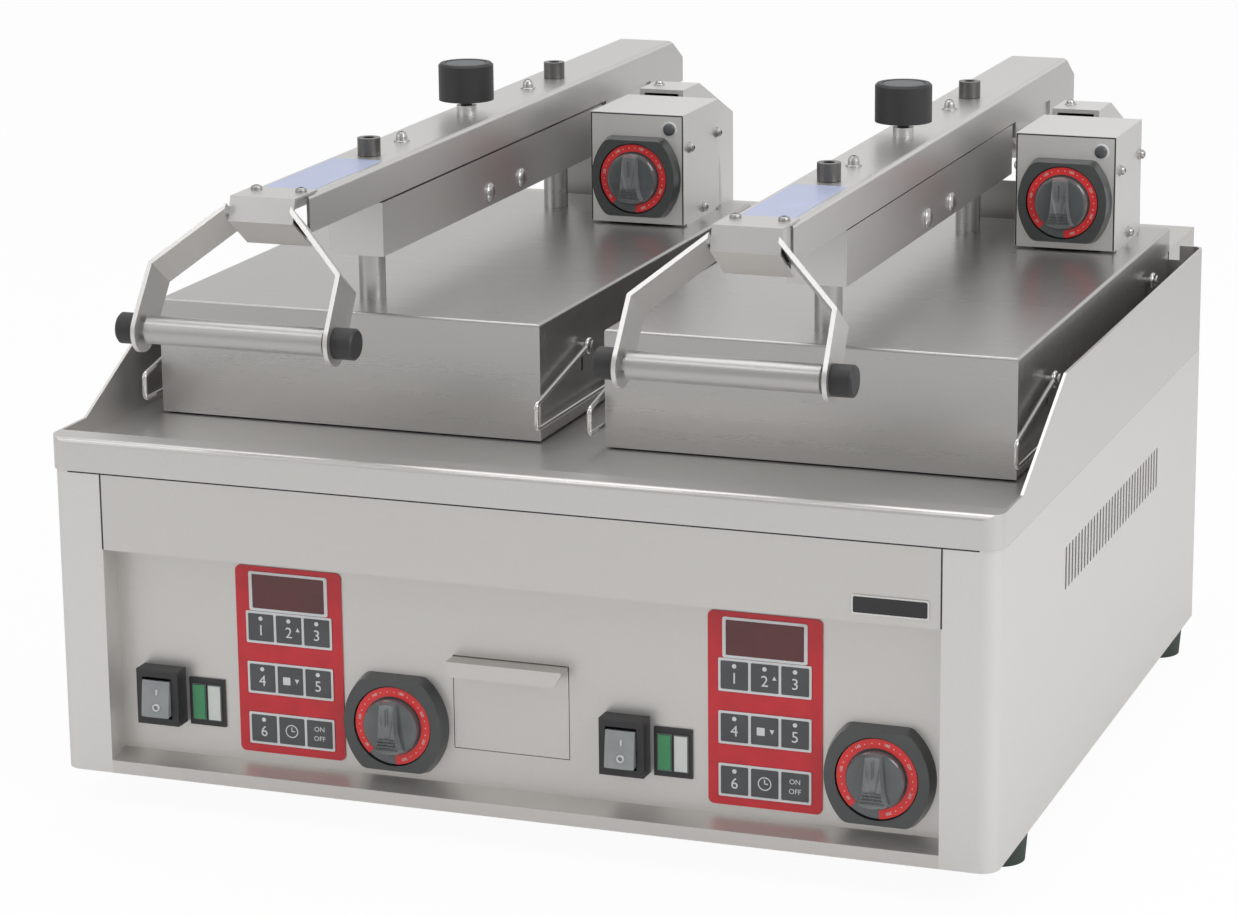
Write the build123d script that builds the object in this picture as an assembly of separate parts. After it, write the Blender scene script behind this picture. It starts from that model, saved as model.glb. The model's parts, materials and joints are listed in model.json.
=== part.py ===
from build123d import *
import math
import os

# Countertop clamshell griddle with two hinged lids, in millimetres.
# X runs to the right, Y to the back and Z up; while modelling, Y = 0 is the front apron face.

# Overall body
body_width = 660.0
rear_space = 15.0
foot_height = 24.0
casing_height = 212.0
sheet = 2.0
thin_sheet = 1.5
front_corner_radius = 12.0
rear_corner_radius = 8.0
casing_inset = 1.0
running_gap = 0.3

# Worktop rim, deck and splash guards
deck_above_casing = 11.0
rim_above_deck = 12.0
guard_above_rim = 54.0
rim_bend_radius = 4.0
rim_top_depth = 19.0
rim_slope_depth = 12.0
guard_low_depth = 53.0
guard_slope_depth = 110.0
guard_notch_width = 8.0
guard_notch_height = 11.0
guard_notch_inset = 16.0
drain_radius = 14.0
drain_y = 300.0
drain_tube_gap = 12.0

# Casing, fascia and control panel
post_width = 38.0
fascia_bottom = 158.5
panel_setback = 20.0
panel_bottom = 13.5
lip_height = 9.0
vent_count = 32
vent_width = 4.2
vent_height = 30.0
vent_pitch = 8.87
vent_first_y = 176.0
vent_centre_height = 153.5

# Feet
foot_radius = 20.0
foot_taper = 2.0
foot_front_y = 96.0
foot_rear_inset = 24.0

# Groups of controls on the panel
switch_z = 55.5
switch_width = 31.0
switch_tall = 38.7
switch_stand = 14.0
switch_body_depth = 24.0
rocker_width = 20.5
rocker_tall = 25.5
rocker_stand = 4.0
rocker_tilt = 7.0
rocker_side_gap = 0.6
rocker_end_gap = 1.6
pilot_z = 52.0
pilot_width = 26.5
pilot_tall = 33.4
pilot_stand = 1.5
lens_width = 8.8
lens_tall = 24.0
lens_stand = 1.4
lens_offset = 5.7
keypad_z = 86.0
keypad_width = 77.3
keypad_tall = 131.0
keypad_thickness = 1.0
keypad_radius = 4.0
key_field_width = 62.9
key_field_tall = 22.4
key_emboss = 0.4
key_gap = 1.6
key_row_drops = (31.3, 66.9, 102.6)
display_width = 52.7
display_tall = 23.8
display_drop = 5.4
display_depth = 0.5
dial_z = 52.0

# Clear spaces across the panel from left to right, spread evenly when the body is wider or narrower
post_space = 18.0
switch_space = 2.95
pilot_space = 10.7
keypad_space = 1.25
dial_space = 3.9
drawer_space = 25.6
end_space = 6.7

# Thermostat bezel and dial, in a larger size on the panel and a smaller one on the lid boxes
bezel_radius = 37.3
bezel_tall = 67.8
bezel_front_radius = 35.0
bezel_front_tall = 62.5
skirt_radius = 27.0
box_bezel_radius = 34.9
box_bezel_tall = 61.5
box_bezel_front_radius = 32.8
box_bezel_front_tall = 58.0
box_skirt_radius = 26.0
bezel_corner = 8.0
bezel_bulge = 43.0
bezel_stand = 10.0
bezel_wall = 2.5
skirt_gap = 0.8
skirt_thickness = 2.5
skirt_sink = 1.6
knob_radius = 19.5
knob_stand = 6.0
grip_width = 13.0
grip_stand = 7.0
grip_flare = 3.0
shaft_radius = 3.0
shaft_length = 16.0
shaft_gap = 0.05
shaft_hole_radius = 5.0
thermostat_width = 40.0
thermostat_depth = 30.0

# Grease drawer
drawer_width = 81.2
drawer_low = 39.0
drawer_high = 102.5
drawer_gap = 0.5
drawer_body_width = 70.0
drawer_body_depth = 355.0
drawer_body_low = 46.0
drawer_body_high = 95.0
drawer_handle_reach = 14.0
drawer_handle_drop = 10.5
drawer_trim = 5.5
runner_ledge = 6.0

# Lower griddle plates and their heaters
plate_side_margin = 12.8
plate_depth = 422.0
plate_thickness = 14.0
plate_flange = 3.0
plate_flange_thickness = 2.0
plate_cut_gap = 0.4
heater_width = 20.0
heater_thickness = 6.0
heater_runs = 4
heater_end_inset = 25.0
heater_side_inset = 20.0

# Lids
hood_spacing = 46.4
hood_front_y = 127.0
hood_depth = 453.0
hood_deck_gap = 1.2
hood_top = 305.0
hood_fold = 18.0
hood_fold_proud = 0.8
hood_bend_radius = 2.0
food_gap = 11.0
upper_plate_thickness = 22.0
upper_plate_inset = 8.0
stud_radius = 6.0
stud_inset = 60.0

# Posts and shoulder bolts, measured from the hood's ends
post_front_inset = 46.5
post_rear_inset = 52.5
post_radius = 9.25
bolt_radius = 5.0
bolt_gap = 0.1
bolt_head_radius = 8.0
bolt_head_height = 12.0
bolt_socket_radius = 4.0
bolt_socket_depth = 6.0

# Arm channel over each lid
arm_width = 46.0
arm_bottom = 380.0
arm_top = 405.0
arm_front_y = 24.0
arm_tail_reach = 102.0
arm_chamfer_depth = 28.0
arm_chamfer_drop = 17.0
arm_tail_start = 23.0
arm_tail_bottom = 368.0
arm_corner = 3.0

# Lower beam that carries the lid
beam_width = 41.0
beam_front_inset = 20.0
beam_rear_inset = 3.0
beam_bottom = 340.0
beam_top = 377.5
beam_wall = 3.0

# Pivot, hinge tower and rear housing
pivot_behind = 65.0
pivot_z = 352.0
pivot_radius = 10.0
pivot_gap = 0.05
hub_radius = 15.0
bracket_wall = 4.0
bracket_reach = 75.0
housing_inset = 31.0
housing_depth = 113.0
housing_top = 281.0
housing_bottom = 120.0
tower_right = 85.0
tower_inner = 49.0
tower_wall = 3.0
tower_top = 390.0
tower_overhang = 10.0
tower_guard_gap = 0.6
tower_top_depth = 39.0
tower_chamfer_drop = 36.0
tower_slot_height = 3.0
tower_slot_inset = 4.0
spring_radius = 16.0
spring_gap = 0.4

# Nose cover at the front end of each arm
nose_width = 46.0
nose_thickness = 1.5
nose_back_y = 37.0
nose_front_y = -2.5
nose_top_y = 2.0
nose_face_bottom = 390.5
nose_slant_y = 25.0
nose_slant_bottom = 371.0

# Handle bow and grip, the bow's plane leans forward
grip_y = -41.5
grip_z = 324.0
bow_lean = 55.0
bow_top = 83.0
bow_top_half = 21.5
bow_bend = 40.0
bow_bend_half = 65.0
bow_foot_half = 66.5
strap_width = 30.0
strap_thickness = 3.0
grip_radius = 9.2
grip_shank_radius = 5.0
cap_radius = 10.2
cap_length = 14.0

# Adjusting knob in the middle of each arm
knob_y = 350.0
adjuster_radius = 20.0
adjuster_tall = 27.0
adjuster_lift = 11.0
adjuster_collar_radius = 7.3
adjuster_collar_tall = 7.0
spindle_radius = 4.0
adjuster_dish_depth = 1.0
adjuster_dish_radius = 15.0
pad_radius = 8.0
pad_thickness = 2.5
pad_socket_depth = 1.5
pad_above_beam = 8.6

# Control box on each lid
box_left = 50.0
box_width = 74.0
box_rear_inset = 24.0
box_depth = 83.0
box_bottom = 306.5
box_tall = 83.5
box_wall = 1.5
box_lamp_stand = 1.5
box_dial_drop = 48.0
box_lamp_radius = 4.5
box_lamp_inset = 11.0
box_foot_width = 12.0
conduit_radius = 7.0
conduit_inset = 10.0
conduit_drop = 27.0
conduit_reach = 14.0

# Wires that hold the release sheet, on each side of each lid
wire_radius = 1.8
wire_out = 5.0
wire_ahead = 19.0
wire_behind = 5.0
wire_low = 237.0
wire_shoulder = 254.0
wire_bend = 4.0
pin_front_inset = 82.0
pin_front_z = 273.0
pin_rear_inset = 75.0
pin_rear_z = 280.0
pin_radius = 2.2
pin_head_radius = 4.2
pin_gap = 0.1
keyhole_width = 3.2
keyhole_length = 12.0

# Inner electrical parts
contactor_width = 45.0
contactor_depth = 75.0
contactor_tall = 80.0
contactor_x = 180.0
contactor_y = 420.0
board_width = 70.0
board_tall = 90.0
board_thickness = 1.6
board_standoff = 8.0
gland_radius = 12.0
gland_length = 22.0
gland_bore = 6.0
gland_inset = 79.0
gland_height = 60.0

# Heights and places that follow from the sizes above
lift = foot_height
half_width = body_width / 2
deck_height = casing_height + deck_above_casing
rim_height = deck_height + rim_above_deck
guard_height = rim_height + guard_above_rim
foot_x = half_width - sheet - foot_radius - foot_taper
housing_half_width = half_width - housing_inset
gland_x = gland_inset - housing_half_width

# Depths from the hoods back to the arm tails
hood_rear_y = hood_front_y + hood_depth
body_depth = hood_rear_y + rear_space
foot_rear_y = body_depth - foot_rear_inset
housing_rear_y = body_depth + housing_depth
tower_front_y = body_depth - tower_overhang
pivot_y = body_depth + pivot_behind
bracket_front_y = pivot_y - bracket_reach
arm_tail_y = pivot_y + arm_tail_start
arm_rear_y = pivot_y + arm_tail_reach

# Lids, one over each half of the worktop
lid_x = half_width / 2
hood_width = half_width - hood_spacing
plate_width = hood_width - 2 * plate_side_margin
beam_front_y = hood_front_y + beam_front_inset
beam_rear_y = hood_rear_y - beam_rear_inset
post_front_y = hood_front_y + post_front_inset
post_rear_y = hood_rear_y - post_rear_inset
pin_front_y = hood_front_y + pin_front_inset
pin_rear_y = hood_rear_y - pin_rear_inset
box_front_y = hood_rear_y - box_rear_inset - box_depth
wire_front_y = hood_front_y - wire_ahead
wire_rear_y = hood_rear_y + wire_behind

# Two like groups of controls on the panel, with the grease drawer between them
group_width = switch_width + pilot_width + keypad_width + 2 * bezel_radius
group_space = switch_space + pilot_space + keypad_space
all_space = post_space + dial_space + drawer_space + end_space + 2 * group_space
spread = (body_width - 2 * post_width - 2 * group_width - drawer_width) / all_space
switch_x = post_width - half_width + spread * post_space + switch_width / 2
pilot_x = switch_x + switch_width / 2 + spread * switch_space + pilot_width / 2
keypad_x = pilot_x + pilot_width / 2 + spread * pilot_space + keypad_width / 2
dial_x = keypad_x + keypad_width / 2 + spread * keypad_space + bezel_radius
drawer_x = dial_x + bezel_radius + spread * dial_space + drawer_width / 2
group_end = drawer_x + drawer_width / 2 + spread * drawer_space
group_pitch = group_end + switch_width / 2 - switch_x

# Heights above the floor and overall places
deck_top = lift + deck_height
inner_floor = lift + thin_sheet
cap_end = bow_foot_half + strap_thickness + cap_length
front_reach = strap_width / 2 - grip_y
middle_y = (arm_rear_y - front_reach) / 2

nodes = {}


# Basic solids placed by their limits
def block(x0, x1, y0, y1, z0, z1):
    centre = Pos((x0 + x1) / 2, (y0 + y1) / 2, (z0 + z1) / 2)
    return centre * Box(x1 - x0, y1 - y0, z1 - z0)


def rod(axis, a, b, radius, start, end):
    length = end - start
    middle = (start + end) / 2
    if axis == "x":
        return Pos(middle, a, b) * Rot(0, 90, 0) * Cylinder(radius, length)
    if axis == "y":
        return Pos(a, middle, b) * Rot(90, 0, 0) * Cylinder(radius, length)
    return Pos(a, b, middle) * Cylinder(radius, length)


def outline(points, rounds=()):
    face = make_face(Polyline(*points, close=True))
    for u, v, radius in rounds:
        corner = min(face.vertices(), key=lambda p: math.hypot(p.X - u, p.Y - v))
        face = fillet(corner, radius)
    return face


def prism_x(points, x0, x1, rounds=()):
    face = Plane.YZ.offset(x0) * outline(points, rounds)
    return extrude(face, amount=x1 - x0, dir=(1, 0, 0))


def prism_y(face, y0, y1):
    return extrude(Plane.XZ.offset(-y0) * face, amount=y1 - y0, dir=(0, 1, 0))


def plan_block(half, y0, y1, r_front, r_rear, z0, z1):
    points = [(-half, y0), (half, y0), (half, y1), (-half, y1)]
    rounds = [(-half, y0, r_front), (half, y0, r_front), (half, y1, r_rear), (-half, y1, r_rear)]
    face = outline(points, [r for r in rounds if r[2] > 0])
    return Pos(0, 0, z0) * extrude(face, amount=z1 - z0)


def strip(points, thickness):
    """Closed outline of a bent sheet whose left-hand side follows the points."""
    far = []
    for i, (x, y) in enumerate(points):
        before = points[i - 1] if i else None
        after = points[i + 1] if i + 1 < len(points) else None
        normals = []
        for a, b in ((before, (x, y)), ((x, y), after)):
            if a and b:
                length = math.hypot(b[0] - a[0], b[1] - a[1])
                normals.append(((b[1] - a[1]) / length, -(b[0] - a[0]) / length))
        nx = sum(n[0] for n in normals) / len(normals)
        ny = sum(n[1] for n in normals) / len(normals)
        scale = thickness / (nx * nx + ny * ny)
        far.append((x + nx * scale, y + ny * scale))
    return list(points) + far[::-1]


def put(name, *solids):
    nodes.setdefault(name, []).extend(solids)


# Worktop: rim, deck, side guards and rear guard in one welded sheet
def worktop():
    low = lift + casing_height
    rim = lift + rim_height
    guard = lift + guard_height
    kink = guard_low_depth + guard_slope_depth
    side = [(0, low), (0, rim), (guard_low_depth, rim), (kink, guard)]
    side += [(body_depth, guard), (body_depth, low)]
    shell = plan_block(half_width, 0, body_depth, front_corner_radius, rear_corner_radius, low, guard)
    shell &= prism_x(side, -half_width, half_width, [(0, rim, rim_bend_radius)])
    inner = half_width - sheet
    back = body_depth - sheet
    r_front = front_corner_radius - sheet
    r_rear = rear_corner_radius - sheet
    slope_end = rim_top_depth + rim_slope_depth
    well = [(rim_top_depth, rim), (slope_end, deck_top), (back, deck_top)]
    well += [(back, guard + 1), (rim_top_depth, guard + 1)]
    above = plan_block(inner, sheet, back, r_front, r_rear, deck_top - sheet, guard + 1)
    shell -= above & prism_x(well, -inner, inner)
    under = [(sheet, low - 1), (sheet, rim - sheet), (rim_top_depth - 1, rim - sheet)]
    under += [(slope_end - 1, deck_top - sheet), (back, deck_top - sheet), (back, low - 1)]
    below = plan_block(inner, sheet, back, r_front, r_rear, low - 1, rim)
    shell -= below & prism_x(under, -inner, inner, [(sheet, rim - sheet, rim_bend_radius - sheet)])
    mid = hood_front_y + hood_depth / 2
    cut_w = plate_width / 2 + plate_cut_gap
    cut_d = plate_depth / 2 + plate_cut_gap
    for centre in (-lid_x, lid_x):
        shell -= block(centre - cut_w, centre + cut_w, mid - cut_d, mid + cut_d, low, rim)
    tube_end = lift + drawer_body_high + drain_tube_gap
    shell += rod("z", drawer_x, drain_y, drain_radius + thin_sheet, tube_end, deck_top)
    shell -= rod("z", drawer_x, drain_y, drain_radius, tube_end - 1, rim)
    notch = inner - guard_notch_inset
    shell -= block(notch - guard_notch_width, notch, back - 1, body_depth + 1,
                   guard - guard_notch_height, guard + 1)
    return shell


# Left or right casing wall with its front post and vent slots
def casing(side):
    high = lift + casing_height
    outer = half_width - casing_inset
    inner = outer - thin_sheet
    front = casing_inset
    back = body_depth - thin_sheet
    ring = plan_block(outer, front, back + 1, front_corner_radius, 0, lift, high)
    ring -= plan_block(inner, front + thin_sheet, back + 2,
                       front_corner_radius - thin_sheet, 0, lift - 1, high + 1)
    edge = half_width - post_width
    ring &= block(edge, half_width, 0, back, lift, high)
    ring += block(edge, edge + thin_sheet, front, panel_setback, lift, high)
    slot_low = lift + vent_centre_height - vent_height / 2
    for i in range(vent_count):
        y = vent_first_y + i * vent_pitch
        end = vent_width / 2
        ring -= block(inner - 1, half_width, y - end, y + end, slot_low + end,
                      slot_low + vent_height - end)
        for z in (slot_low + end, slot_low + vent_height - end):
            ring -= rod("x", y, z, end, inner - 1, half_width)
    return ring if side > 0 else mirror(ring, about=Plane.YZ)


# Base plate, bent up in front into the bottom lip
def base_tray():
    edge = half_width - post_width
    inner = half_width - casing_inset - thin_sheet
    plate = block(-inner, inner, panel_setback, body_depth - thin_sheet * 2, lift, inner_floor)
    plate += block(-edge, edge, casing_inset + thin_sheet, panel_setback + 1, lift, inner_floor)
    front = [(casing_inset, lift), (casing_inset, lift + lip_height)]
    front += [(panel_setback, lift + panel_bottom)]
    return plate + prism_x(strip(front, thin_sheet), -edge, edge)


def upper_fascia():
    edge = half_width - post_width
    bottom = lift + fascia_bottom
    profile = [(panel_setback, bottom), (casing_inset, bottom), (casing_inset, lift + casing_height)]
    return prism_x(strip(profile, thin_sheet), -edge, edge)


# Panel items are repeated for the left and right cooking zones
def zones():
    return (0.0, group_pitch)


def control_panel():
    edge = half_width - post_width
    y0 = panel_setback
    y1 = y0 + thin_sheet
    plate = block(-edge, edge, y0, y1, lift + panel_bottom, lift + fascia_bottom)
    gap = drawer_gap
    plate -= block(drawer_x - drawer_width / 2 - gap, drawer_x + drawer_width / 2 + gap,
                   y0 - 1, y1 + 1, lift + drawer_low - gap, lift + drawer_high + gap)
    for dx in zones():
        plate -= rod("y", dial_x + dx, lift + dial_z, shaft_hole_radius, y0 - 1, y1 + 1)
        plate -= switch_neck(dx, 0.2)
        plate -= pilot_neck(dx, 0.2)
    return plate


def rear_panel():
    inner = half_width - casing_inset - thin_sheet
    back = body_depth
    return block(-inner, inner, back - thin_sheet, back, lift, lift + casing_height)


def foot(x, y):
    rubber = loft([Pos(x, y, 0) * Circle(foot_radius - foot_taper),
                   Pos(x, y, foot_height) * Circle(foot_radius)])
    return rubber


# Rocker switches with a deep black frame
def switch_neck(dx, grow):
    w = rocker_width / 2 + rocker_side_gap + 1 + grow
    h = rocker_tall / 2 + rocker_end_gap + 1 + grow
    x = switch_x + dx
    z = lift + switch_z
    return block(x - w, x + w, panel_setback, panel_setback + switch_body_depth, z - h, z + h)


def switch_housing(dx):
    x = switch_x + dx
    z = lift + switch_z
    front = panel_setback - switch_stand
    frame = block(x - switch_width / 2, x + switch_width / 2, front, panel_setback,
                  z - switch_tall / 2, z + switch_tall / 2)
    frame = chamfer(frame.faces().sort_by(Axis.Y)[0].edges(), 0.8)
    frame += switch_neck(dx, 0)
    w = rocker_width / 2 + rocker_side_gap
    h = rocker_tall / 2 + rocker_end_gap
    return frame - block(x - w, x + w, front - 1, panel_setback + 3, z - h, z + h)


def rocker(dx):
    x = switch_x + dx
    z = lift + switch_z
    front = panel_setback - switch_stand - rocker_stand
    deep = panel_setback - 2
    h = rocker_tall / 2
    profile = [(deep, -h * 0.55), (front + 1.2, -h), (front + 2.2, 0), (front + 1.2, h), (deep, h * 0.55)]
    body = prism_x(profile, x - rocker_width / 2, x + rocker_width / 2)
    pivot = Pos(0, panel_setback - switch_stand / 2, z)
    return pivot * Rot(rocker_tilt, 0, 0) * Pos(0, switch_stand / 2 - panel_setback, 0) * body


# Twin pilot lamps in one frame
def pilot_neck(dx, grow):
    w = pilot_width / 2 - 3 + grow
    h = pilot_tall / 2 - 3 + grow
    x = pilot_x + dx
    z = lift + pilot_z
    return block(x - w, x + w, panel_setback, panel_setback + 18, z - h, z + h)


def pilot_lens(dx, side, grow=0.0):
    x = pilot_x + dx + side * lens_offset
    z = lift + pilot_z
    w = lens_width / 2 + grow
    h = lens_tall / 2 + grow
    front = panel_setback - pilot_stand - lens_stand
    return block(x - w, x + w, front, panel_setback + 6 + grow, z - h, z + h)


def pilot_frame(dx):
    x = pilot_x + dx
    z = lift + pilot_z
    frame = block(x - pilot_width / 2, x + pilot_width / 2, panel_setback - pilot_stand,
                  panel_setback, z - pilot_tall / 2, z + pilot_tall / 2)
    frame += pilot_neck(dx, 0)
    for side in (-1, 1):
        frame -= pilot_lens(dx, side)
    return frame


# Membrane keypad with a display window and three rows of three keys
def keypad(dx):
    x = keypad_x + dx
    top = lift + keypad_z + keypad_tall / 2
    face = Pos(x, lift + keypad_z) * RectangleRounded(keypad_width, keypad_tall, keypad_radius)
    front = panel_setback - keypad_thickness
    pad = prism_y(face, front, panel_setback)
    pad -= block(x - display_width / 2, x + display_width / 2, front - 1, front + display_depth,
                 top - display_drop - display_tall, top - display_drop)
    pitch = (key_field_width + key_gap) / 3
    for drop in key_row_drops:
        for column in (-1, 0, 1):
            centre = x + column * pitch
            half = (pitch - key_gap) / 2
            pad += block(centre - half, centre + half, front - key_emboss, front + display_depth,
                         top - drop - key_field_tall, top - drop)
    return pad


# Thermostat bezel and dial, built about an axis along Y
def bezel_face(radius, tall):
    shift = bezel_bulge - radius
    face = (Pos(-shift, 0) * Circle(bezel_bulge)) & (Pos(shift, 0) * Circle(bezel_bulge))
    face &= Rectangle(4 * radius, tall)
    corners = [v for v in face.vertices() if abs(abs(v.Y) - tall / 2) < 0.01]
    return fillet(corners, bezel_corner)


def bezel(x, z, wall_y, back_size, front_size, skirt):
    back = Plane.XZ.offset(-wall_y) * Pos(x, z) * bezel_face(*back_size)
    front = Plane.XZ.offset(bezel_stand - wall_y) * Pos(x, z) * bezel_face(*front_size)
    ring = loft([back, front])
    ring -= rod("y", x, z, skirt + skirt_gap, wall_y - bezel_stand - 1, wall_y - bezel_wall)
    return ring - rod("y", x, z, shaft_hole_radius, wall_y - bezel_stand, wall_y + 1)


def panel_bezel(x):
    back = (bezel_radius, bezel_tall)
    front = (bezel_front_radius, bezel_front_tall)
    return bezel(x, lift + dial_z, panel_setback, back, front, skirt_radius)


def box_bezel(x, z):
    back = (box_bezel_radius, box_bezel_tall)
    front = (box_bezel_front_radius, box_bezel_front_tall)
    return bezel(x, z, box_front_y, back, front, box_skirt_radius)


def dial(x, z, wall_y, skirt):
    front = wall_y - bezel_stand + skirt_sink
    knob = rod("y", x, z, skirt, front, front + skirt_thickness)
    knob += rod("y", x, z, knob_radius, front - knob_stand, front + 1)
    w = grip_width / 2
    tip = front - knob_stand - grip_stand
    flare = w + grip_flare
    half = math.sqrt(knob_radius**2 - flare**2)
    grip = outline([(-w, half), (w, half), (w, 0), (flare, -half), (-flare, -half), (-w, 0)])
    knob += prism_y(Pos(x, z) * grip, tip, front)
    return knob + rod("y", x, z, shaft_radius, front, wall_y + shaft_length)


def thermostat(x, z, wall_y):
    w = thermostat_width / 2
    body = block(x - w, x + w, wall_y, wall_y + thermostat_depth, z - w, z + w)
    return body - rod("y", x, z, shaft_radius + shaft_gap, wall_y - 1, wall_y + shaft_length + 1)


# Grease drawer with its front plate and bent pull, and the rails that carry it
def grease_drawer():
    low = lift + drawer_body_low
    high = lift + drawer_body_high
    front = panel_setback
    w = drawer_body_width / 2
    tray = block(drawer_x - w, drawer_x + w, front, front + drawer_body_depth, low, high)
    tray -= block(drawer_x - w + thin_sheet, drawer_x + w - thin_sheet, front + thin_sheet,
                  front + drawer_body_depth - thin_sheet, low + thin_sheet, high + 1)
    face_w = drawer_width / 2
    tray += block(drawer_x - face_w, drawer_x + face_w, front, front + thin_sheet,
                  lift + drawer_low, lift + drawer_high)
    top = lift + drawer_high
    pull = [(front + 1, top), (front - drawer_handle_reach, top)]
    pull += [(front - drawer_handle_reach, top - drawer_handle_drop)]
    tray += prism_x(strip(pull[::-1], thin_sheet), drawer_x - face_w, drawer_x + face_w)
    end = drawer_x + face_w
    trim = outline([(end + 1, top - 2), (end, top - 2), (end - drawer_trim, top - drawer_handle_drop - 1),
                    (end + 1, top - drawer_handle_drop - 1)])
    return tray - prism_y(trim, front - drawer_handle_reach - 1, front - drawer_handle_reach + 3)


def drawer_runner(side):
    w = drawer_body_width / 2 + running_gap
    ledge_top = lift + drawer_body_low - running_gap
    y0 = panel_setback + thin_sheet
    y1 = panel_setback + drawer_body_depth
    wall = sorted((drawer_x + side * w, drawer_x + side * (w + thin_sheet)))
    ledge = sorted((drawer_x + side * (w + thin_sheet), drawer_x + side * (w - runner_ledge)))
    rail = block(*wall, y0, y1, inner_floor, lift + drawer_body_high - 15)
    return rail + block(*ledge, y0, y1, ledge_top - thin_sheet, ledge_top)


# Lower cooking plates and the flat heaters clamped under them
def griddle_plate(x):
    mid = hood_front_y + hood_depth / 2
    w = plate_width / 2
    d = plate_depth / 2
    bottom = deck_top - plate_thickness
    slab = block(x - w, x + w, mid - d, mid + d, bottom, deck_top + 1)
    w += plate_flange
    d += plate_flange
    flange = block(x - w, x + w, mid - d, mid + d, deck_top, deck_top + plate_flange_thickness)
    flange = fillet(flange.edges().filter_by(Axis.Z), 6)
    return slab + flange


def heater(x, top):
    mid = hood_front_y + hood_depth / 2
    half_d = plate_depth / 2 - heater_end_inset
    pitch = (plate_width - 2 * heater_side_inset) / heater_runs
    left = x - pitch * (heater_runs - 1) / 2
    shape = block(left - heater_width / 2, left + (heater_runs - 1) * pitch + heater_width / 2,
                  mid + half_d - heater_width, mid + half_d, top - heater_thickness, top)
    for i in range(heater_runs):
        centre = left + i * pitch
        shape += block(centre - heater_width / 2, centre + heater_width / 2, mid - half_d,
                       mid + half_d, top - heater_thickness, top)
    return shape


# Hinge: rear housing, one tower per arm, shaft and counterbalance spring
def rear_housing():
    w = housing_half_width
    low = lift + housing_bottom
    high = lift + housing_top
    shell = block(-w, w, body_depth, housing_rear_y, low, high)
    t = sheet
    shell -= block(-w + t, w - t, body_depth + t, housing_rear_y - t, low + t, high - t)
    rear = housing_rear_y
    return shell - rod("y", gland_x, low + gland_height, gland_bore + 1, rear - t - 1, rear + 1)


def hinge_tower(x):
    base = lift + housing_top
    top = lift + tower_top
    over_guard = lift + guard_height + tower_guard_gap
    front = tower_front_y
    rear = housing_rear_y - 1
    slope = front + tower_top_depth
    low = top - tower_chamfer_drop
    side = [(body_depth, base), (body_depth, over_guard), (front, over_guard), (front, top)]
    side += [(slope, top), (rear, low), (rear, base)]
    box = prism_x(side, x + tower_inner, x + tower_right)
    t = tower_wall
    core = [(body_depth + t, base + t), (body_depth + t, over_guard + t), (front + t, over_guard + t)]
    core += [(front + t, top - t), (slope - 1, top - t), (rear - t, low - t), (rear - t, base + t)]
    box -= prism_x(core, x + tower_inner + t, x + tower_right - t)
    inset = tower_slot_inset
    box -= block(x + tower_inner + inset, x + tower_right - inset, front - 1, front + t + 1,
                 top - t - tower_slot_height, top - t)
    return box - rod("x", pivot_y, lift + pivot_z, pivot_radius, x, x + tower_right - t)


def hinge_shaft(x):
    start = x - arm_width / 2
    return rod("x", pivot_y, lift + pivot_z, pivot_radius, start, x + tower_right - tower_wall)


def counter_spring(x):
    start = x + tower_inner + tower_wall
    end = x + tower_right - tower_wall
    coil = rod("x", pivot_y, lift + pivot_z, spring_radius, start, end)
    return coil - rod("x", pivot_y, lift + pivot_z, pivot_radius + spring_gap, start - 1, end + 1)


# Arm: an inverted channel with a chamfered tail and the pivot bracket welded inside
def arm_channel(x):
    w = arm_width / 2
    top = lift + arm_top
    low = lift + arm_bottom
    tail = lift + arm_tail_bottom
    chamfer_y = arm_rear_y - arm_chamfer_depth
    side = [(arm_front_y, low), (arm_front_y, top), (chamfer_y, top)]
    side += [(arm_rear_y, top - arm_chamfer_drop), (arm_rear_y, tail)]
    side += [(arm_tail_y, tail), (arm_tail_y, low)]
    shape = prism_x(side, x - w, x + w)
    long_edges = shape.edges().filter_by(Axis.Y).sort_by(Axis.Z)[-2:]
    shape = fillet(long_edges, arm_corner)
    t = sheet
    core = [(arm_front_y - 1, tail - 1), (arm_front_y - 1, top - t), (chamfer_y - 1, top - t)]
    core += [(arm_rear_y - t, top - arm_chamfer_drop - 1), (arm_rear_y - t, tail - 1)]
    shape -= prism_x(core, x - w + t, x + w - t)
    pivot = lift + pivot_z
    plate = [(bracket_front_y, top - t), (bracket_front_y, low - 14), (pivot_y - 16, pivot - 14)]
    plate += [(pivot_y, pivot - hub_radius), (pivot_y + 16, pivot - 12), (arm_tail_y + 20, tail - 1)]
    plate += [(arm_rear_y - 20, tail + 4), (arm_rear_y - 30, top - arm_chamfer_drop)]
    plate += [(chamfer_y - 20, top - t)]
    for side_x in (x - w + t, x + w - t - bracket_wall):
        shape += prism_x(plate, side_x, side_x + bracket_wall)
    shape += rod("x", pivot_y, pivot, hub_radius, x - w, x + tower_inner - running_gap)
    shape -= rod("x", pivot_y, pivot, pivot_radius + pivot_gap, x - w - 1, x + tower_inner)
    for y in (post_front_y, post_rear_y):
        shape -= rod("z", x, y, bolt_radius + bolt_gap, top - t - 1, top + 1)
    shape += rod("z", x, knob_y, adjuster_collar_radius, top - t, top + adjuster_collar_tall)
    return shape - rod("z", x, knob_y, spindle_radius + bolt_gap, top - 10, top + 20)


def nose_outline():
    top = lift + arm_top + nose_thickness
    points = [(nose_slant_y, lift + nose_slant_bottom), (nose_front_y, lift + nose_face_bottom)]
    points += [(nose_top_y, top), (nose_back_y, top)]
    return strip(points, nose_thickness)


def nose_cover(x):
    return prism_x(nose_outline(), x - nose_width / 2, x + nose_width / 2)


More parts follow.
